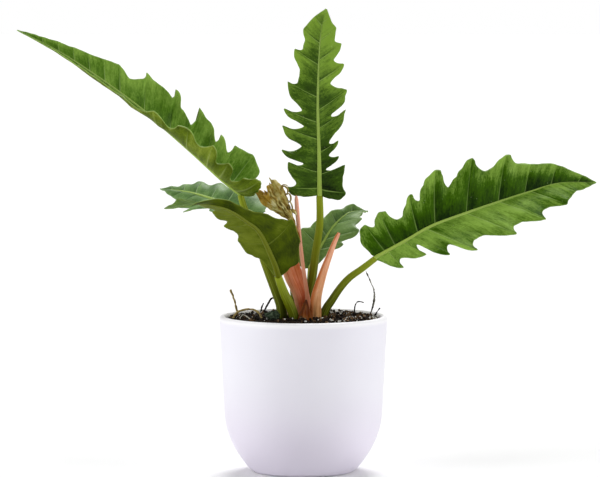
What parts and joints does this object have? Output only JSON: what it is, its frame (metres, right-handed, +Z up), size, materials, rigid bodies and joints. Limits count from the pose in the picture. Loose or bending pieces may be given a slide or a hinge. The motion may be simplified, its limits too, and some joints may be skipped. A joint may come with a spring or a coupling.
{
  "type": "potted philodendron",
  "caption": "Leafy house plant with long toothed leaves on separate stalks, standing in a round white pot filled with potting mix.",
  "frame": {"origin": "middle of the pot's flat base, on the surface it stands on", "axes": "+Z up, the side seen as the front faces -Y, the long thin leaf points to -X and the broad one to +X"},
  "size_m": [0.4779, 0.2127, 0.3825],
  "materials": {
    "pot_ceramic": "satin",
    "potting_mix": "matte",
    "crown_bark": "matte",
    "leaf": "satin",
    "stalk": "satin",
    "sheath": "satin",
    "dry_leaf": "matte",
    "root": "matte",
    "moss": "matte"
  },
  "bodies": {
    "root": {"pot": "pot_ceramic", "soil": "potting_mix", "crown": "crown_bark", "crown_scale": "crown_bark", "upright_leaf_blade": "leaf", "upright_leaf_stalk": "stalk", "broad_right_leaf_blade": "leaf", "broad_right_leaf_stalk": "stalk", "long_left_leaf_blade": "leaf", "long_left_leaf_stalk": "stalk", "drooping_leaf_blade": "leaf", "drooping_leaf_stalk": "stalk", "back_left_leaf_blade": "leaf", "back_left_leaf_stalk": "stalk", "back_right_leaf_blade": "leaf", "back_right_leaf_stalk": "stalk", "left_sheath": "sheath", "right_sheath": "sheath", "new_leaf_spike": "sheath", "withered_leaf": "dry_leaf", "broken_twig": "root", "arched_root": "root", "dark_root": "root", "hooked_root": "root", "short_root": "root", "rim_root": "root", "hanging_root": "root", "moss_clump": "moss"}
  },
  "joints": []
}
